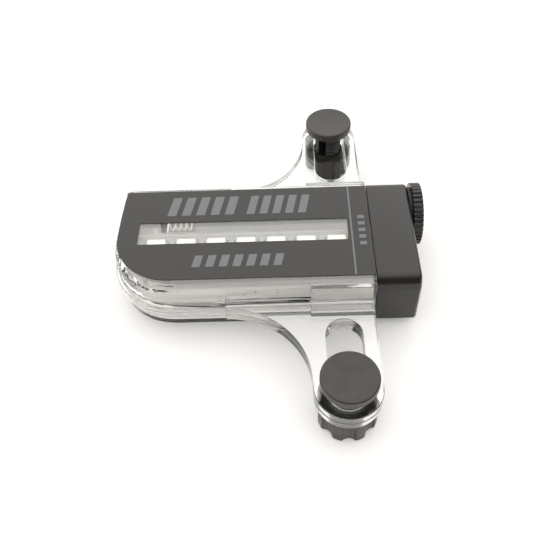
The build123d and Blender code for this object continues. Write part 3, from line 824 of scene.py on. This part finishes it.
# %% Finishes of the carried-over nodes
finishes = {
    "inner_carrier": carrier_plastic,
    "upper_led_board": white_mask,
    "lower_led_board": white_mask,
    "board_pins": drawn_brass,
    "control_board": green_mask,
    "controller_chip": chip_epoxy,
    "motion_switch": nickel_plate,
    "boost_inductor": pressed_ferrite,
    "storage_capacitor": nickel_plate,
    "resistors": chip_epoxy,
    "spring_plate": dull_nickel,
    "cell_can": nickel_plate,
    "cell_wrap": cell_sleeve,
    "cell_button": nickel_plate,
    "contact_sleeve": drawn_brass,
    "sleeve_strip": drawn_brass,
    "plug_contact": drawn_brass,
}
for node, material in finishes.items():
    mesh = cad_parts[node].data
    mesh.materials.clear()
    mesh.materials.append(material)
print(len(finishes), "nodes finished")

# %% [markdown]
# The light lies on a plain white table under soft light from above and behind, as in a light tent with
# an open front. The world gives that light: bright overhead and behind, dim towards the open front. What
# mirrors it sees a stronger contrast than what it lights, and this puts the dark band on the cap's front
# edge. Rays that come through clear plastic see a part of that contrast, which gives the walls their dark
# lines. The camera sees the tent white. The floor is matt white, and adds a little light of its own for
# rays that look at it, so that only the shadow stays grey.

# %% The light tent
tent_axis = (-0.1, 0.48, 0.87)
axis_dark, axis_bright = 0.12, 0.85
lighting_low, lighting_high = 0.8, 1.5
mirrored_low, mirrored_high = 0.06, 1.9
clear_share = 0.4

world = bpy.data.worlds.new("light_tent")
bpy.context.scene.world = world
world.use_nodes = True
tree = world.node_tree
tree.nodes.clear()
direction = add_node(tree, "ShaderNodeTexCoord").outputs["Generated"]
towards = add_node(
    tree, "ShaderNodeVectorMath", {0: direction, 1: tent_axis}, operation="DOT_PRODUCT"
)
path = add_node(tree, "ShaderNodeLightPath")
mirrored = add_node(
    tree,
    "ShaderNodeMath",
    {0: path.outputs["Is Transmission Ray"], 1: clear_share - 1, 2: path.outputs["Is Glossy Ray"]},
    operation="MULTIPLY_ADD",
)
darkest = add_node(
    tree,
    "ShaderNodeMapRange",
    {"Value": mirrored.outputs["Value"], "To Min": lighting_low, "To Max": mirrored_low},
)
brightest = add_node(
    tree,
    "ShaderNodeMapRange",
    {"Value": mirrored.outputs["Value"], "To Min": lighting_high, "To Max": mirrored_high},
)
tent = add_node(
    tree,
    "ShaderNodeMapRange",
    {
        "Value": towards.outputs["Value"],
        "From Min": axis_dark,
        "From Max": axis_bright,
        "To Min": darkest.outputs["Result"],
        "To Max": brightest.outputs["Result"],
    },
    interpolation_type="SMOOTHSTEP",
)
lit = add_node(
    tree, "ShaderNodeBackground", {"Color": linear("#FFFDFA"), "Strength": tent.outputs["Result"]}
)
seen = add_node(tree, "ShaderNodeBackground", {"Color": linear("#FFFFFF"), "Strength": 1.0})
mix = add_node(
    tree,
    "ShaderNodeMixShader",
    {0: path.outputs["Is Camera Ray"], 1: lit.outputs["Background"], 2: seen.outputs["Background"]},
)
add_node(tree, "ShaderNodeOutputWorld", {"Surface": mix.outputs["Shader"]})
print("tent", len(tree.nodes), "nodes")

# %% The floor
floor_size = 8
light_when_seen = 0.18
light_through_plastic = 0.1

bpy.ops.mesh.primitive_plane_add(size=floor_size, location=(0, 0, 0))
floor = bpy.context.object
floor.name = "white_table"
white_table, tree, shader, place = start_material("matt_white_table", "#F2F1EF", 0.9)
shader.inputs["Specular IOR Level"].default_value = 0.0
path = add_node(tree, "ShaderNodeLightPath")
looked_at = add_node(
    tree,
    "ShaderNodeMath",
    {0: path.outputs["Is Camera Ray"], 1: path.outputs["Is Glossy Ray"]},
    operation="MAXIMUM",
)
looked_through = add_node(
    tree,
    "ShaderNodeMath",
    {0: path.outputs["Is Transmission Ray"], 1: light_through_plastic},
    operation="MULTIPLY",
)
own_light = add_node(
    tree,
    "ShaderNodeMath",
    {0: looked_at.outputs["Value"], 1: light_when_seen, 2: looked_through.outputs["Value"]},
    operation="MULTIPLY_ADD",
)
shader.inputs["Emission Color"].default_value = linear("#FFFFFF")
tree.links.new(own_light.outputs["Value"], shader.inputs["Emission Strength"])
floor.data.materials.append(white_table)
print("floor", floor_size, "m wide")

# %% [markdown]
# The camera was worked out from the photograph: held close, looking down at about half a right angle, and
# turned a little. So near a lens shows strong perspective, and its clip distance has to be short.

# %% Camera
camera_place = Vector((5.549, -122.379, 150.949)) * MM
yaw, pitch, roll = (math.radians(angle) for angle in (-2.27, -51.0, -3.30))
ahead = Vector((math.sin(yaw) * math.cos(pitch), math.cos(yaw) * math.cos(pitch), math.sin(pitch)))
level_right = Vector((math.cos(yaw), -math.sin(yaw), 0))
level_up = level_right.cross(ahead)
right = math.cos(roll) * level_right + math.sin(roll) * level_up
up = -math.sin(roll) * level_right + math.cos(roll) * level_up
camera_data = bpy.data.cameras.new("camera")
camera_data.sensor_width = 36
camera_data.lens = 44.12
camera_data.clip_start = 10 * MM
camera = bpy.data.objects.new("camera", camera_data)
bpy.context.scene.collection.objects.link(camera)
turn = Matrix((right, up, -ahead)).transposed().to_4x4()
camera.matrix_world = Matrix.Translation(camera_place) @ turn
bpy.context.scene.camera = camera
bpy.context.scene.view_settings.view_transform = "Standard"
print("camera", tuple(round(value, 4) for value in camera_place))
